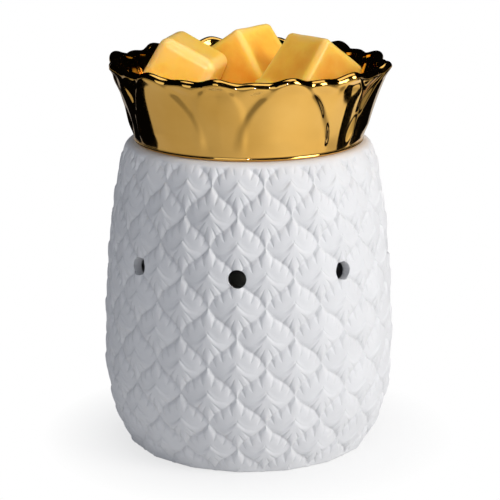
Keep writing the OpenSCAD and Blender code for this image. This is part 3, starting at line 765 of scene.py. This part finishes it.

# %% [markdown]
# ## The studio
# The stage is made of sheets, like a table top in a real studio: a white table, black cards and a
# black tent. Each is a mesh of its own. Some light only matters where it is seen, so a shader may ask
# which ray is looking.


# %% Helpers for the studio
def staged(name, bm, mat):
    """Make an object of a mesh and give it its material"""
    mesh = bpy.data.meshes.new(name)
    bm.to_mesh(mesh)
    bm.free()
    obj = bpy.data.objects.new(name, mesh)
    bpy.context.scene.collection.objects.link(obj)
    mesh.materials.append(mat)
    return obj


def board(name, low, high, mat):
    """A level sheet between two corners, part of the stage"""
    bm = bmesh.new()
    bmesh.ops.create_grid(bm, x_segments=1, y_segments=1, size=0.5)
    bmesh.ops.scale(bm, vec=(high[0] - low[0], high[1] - low[1], 1), verts=bm.verts)
    bmesh.ops.translate(bm, vec=[(p + q) / 2 for p, q in zip(low, high)], verts=bm.verts)
    return staged(name, bm, mat)


def seen(tree):
    """1 for what the camera sees, and 1 for what it sees in a mirror or through glass"""
    rays = tree.nodes.new("ShaderNodeLightPath")
    direct, mirrored, behind = (Value(tree, rays.outputs[name]) for name in (
        "Is Camera Ray", "Is Glossy Ray", "Is Transmission Ray"))
    return direct, mirrored.node("MAXIMUM", mirrored, behind)


# %% [markdown]
# ## The table
# The pot stands on a white table. Its paper is lit and takes the pot's shadow, but what the camera sees
# of it goes over into plain white, more so away from the pot. The gold mirrors the table in front of
# it. There it is brightest on the right, as if under a window, and dims with the distance.

# %% Table
PAPER_WHITE = 0.86
WHITE_FROM, WHITE_OVER, LEAST_WHITE = 0.045, 0.04, 0.70
GLOW, GLOW_RIGHT = 0.52, 0.5
BRIGHT_X, BRIGHT_HALF = 0.16, 0.17
DIM_FROM, DIM_OVER, DIM_BY = 0.24, 0.12, 0.45

paper = bpy.data.materials.new("table_paper")
paper.use_nodes = True
tree = paper.node_tree
lit = tree.nodes["Principled BSDF"]
lit.inputs["Base Color"].default_value = (PAPER_WHITE, PAPER_WHITE, PAPER_WHITE, 1)
lit.inputs["Roughness"].default_value = 0.9
white = tree.nodes.new("ShaderNodeEmission")
where = tree.nodes.new("ShaderNodeTexCoord")
away = tree.nodes.new("ShaderNodeVectorMath")
away.operation = "LENGTH"
tree.links.new(where.outputs["Object"], away.inputs[0])
distance = Value(tree, away.outputs["Value"])
whiteness = ((distance - WHITE_FROM) / WHITE_OVER).limited() * (1 - LEAST_WHITE) + LEAST_WHITE
axes = tree.nodes.new("ShaderNodeSeparateXYZ")
tree.links.new(where.outputs["Object"], axes.inputs[0])
direct, mirrored = seen(tree)
side = (Value(tree, axes.outputs["X"]) - BRIGHT_X).bell(BRIGHT_HALF)
glow = (side * GLOW_RIGHT + GLOW) * (((distance - DIM_FROM) / DIM_OVER).limited() * -DIM_BY + 1.0)
tree.links.new(direct.node("MAXIMUM", direct, glow).socket, white.inputs["Strength"])
blend = tree.nodes.new("ShaderNodeMixShader")
tree.links.new((direct * whiteness + mirrored).limited().socket, blend.inputs[0])
tree.links.new(lit.outputs[0], blend.inputs[1])
tree.links.new(white.outputs[0], blend.inputs[2])
tree.links.new(blend.outputs[0], tree.nodes["Material Output"].inputs["Surface"])
table = board("table", (-3, -3, 0), (3, 3, 0), paper)
print("table of", [round(x, 2) for x in table.dimensions], "m")

# %% [markdown]
# ## Black cards and a tent
# Gold looks like gold only when it has something dark to mirror. Above the table the studio is dark: a
# black tent gives the gold its deep shades. Black cards on the table, left and right of the picture,
# darken the sides of the dish. A gap between two of them makes the bright band on the right. Only
# mirrors and glass see the cards and the tent, so these neither hide the white behind the pot nor take
# its light.

# %% Black cards and tent
CARD_Z = 0.004
TENT_SIZE, TENT_Z = 4, 2.06
BLACK = 0.004

black = bpy.data.materials.new("black_cloth")
black.use_nodes = True
cloth = black.node_tree.nodes["Principled BSDF"]
cloth.inputs["Base Color"].default_value = (BLACK, BLACK, BLACK, 1)
cloth.inputs["Roughness"].default_value = 0.95
cloth.inputs["Specular IOR Level"].default_value = 0.0
cards = [board("card_left", (-1.1, 0.034, CARD_Z), (-0.16, 0.45, CARD_Z), black),
         board("card_right", (0.16, 0.05, CARD_Z), (1.1, 0.118, CARD_Z), black),
         board("card_far", (0.16, 0.162, CARD_Z), (1.1, 0.45, CARD_Z), black)]
bm = bmesh.new()
bmesh.ops.create_cube(bm, size=TENT_SIZE)
bmesh.ops.translate(bm, vec=(0, 0, TENT_Z), verts=bm.verts)
bottom = [face for face in bm.faces if face.normal.z < -0.5]
bmesh.ops.delete(bm, geom=bottom, context="FACES")
tent = staged("tent", bm, black)
for sheet in (*cards, tent):
    sheet.visible_camera = False
    sheet.visible_diffuse = False
    sheet.visible_shadow = False
print("tent of", [round(x, 2) for x in tent.dimensions], "m")

# %% [markdown]
# ## The light all round
# A faint bluish light from everywhere fills the shadows of the scales. The camera sees plain white
# instead of it, like the paper behind the pot in a studio, and so does a mirror that looks out under
# the tent.

# %% World
world = bpy.data.worlds.new("studio")
bpy.context.scene.world = world
world.use_nodes = True
tree = world.node_tree
ambient = tree.nodes["Background"]
ambient.inputs["Color"].default_value = (0.80, 0.86, 1.0, 1)
ambient.inputs["Strength"].default_value = 0.22
white = tree.nodes.new("ShaderNodeBackground")
white.inputs["Color"].default_value = (1, 1, 1, 1)
white.inputs["Strength"].default_value = 1
blend = tree.nodes.new("ShaderNodeMixShader")
direct, mirrored = seen(tree)
tree.links.new((direct + mirrored).limited().socket, blend.inputs[0])
tree.links.new(ambient.outputs[0], blend.inputs[1])
tree.links.new(white.outputs[0], blend.inputs[2])
tree.links.new(blend.outputs[0], tree.nodes["World Output"].inputs["Surface"])
print("ambient light of", round(ambient.inputs["Strength"].default_value, 2))

# %% [markdown]
# ## The lamps
# A large key lamp from the right models the scales, a weaker fill lamp stands near the camera, and a
# top lamp lights the dish. A snoot, which is a lamp in a narrow tube, points at the wax alone, because
# wax only glows when enough light gets into it.

# %% Lamps
WHITE_LIGHT = (1.0, 1.0, 1.0)
WARM_LIGHT = (1.0, 0.985, 0.96)
COOL_LIGHT = (0.93, 0.96, 1.0)
POT_MIDDLE = (0, 0, 0.08)
WAX_MIDDLE = (-0.018, 0, 0.178)


def aimed_lamp(name, kind, place, aim, watts, colour):
    """A lamp that looks at a point"""
    light = bpy.data.lights.new(name, kind)
    light.energy = watts
    light.color = colour
    lamp = bpy.data.objects.new(name, light)
    lamp.location = place
    lamp.rotation_euler = (Vector(aim) - Vector(place)).to_track_quat("-Z", "Y").to_euler()
    bpy.context.scene.collection.objects.link(lamp)
    print(name, watts, "W")
    return light


def soft_lamp(name, place, aim, width, height, watts, colour):
    """A large soft lamp that looks at a point"""
    light = aimed_lamp(name, "AREA", place, aim, watts, colour)
    light.shape = "RECTANGLE"
    light.size, light.size_y = width, height


soft_lamp("key", (0.95, -0.45, 0.62), POT_MIDDLE, 0.5, 0.7, 9, WARM_LIGHT)
soft_lamp("fill", (-0.3, -1.2, 0.5), POT_MIDDLE, 0.7, 0.8, 1.8, COOL_LIGHT)
soft_lamp("top", (0.15, 0.1, 1.1), (0, 0, 0), 0.8, 0.8, 2.6, WHITE_LIGHT)
snoot = aimed_lamp("snoot", "SPOT", (0.1, -1.25, 0.5), WAX_MIDDLE, 44, WHITE_LIGHT)
snoot.spot_size, snoot.spot_blend = math.radians(5.2), 0.4
snoot.shadow_soft_size = 0.03

# %% [markdown]
# ## Last
# The colours are shown through the Standard view transform.

# %% Finish
bpy.context.scene.view_settings.view_transform = "Standard"
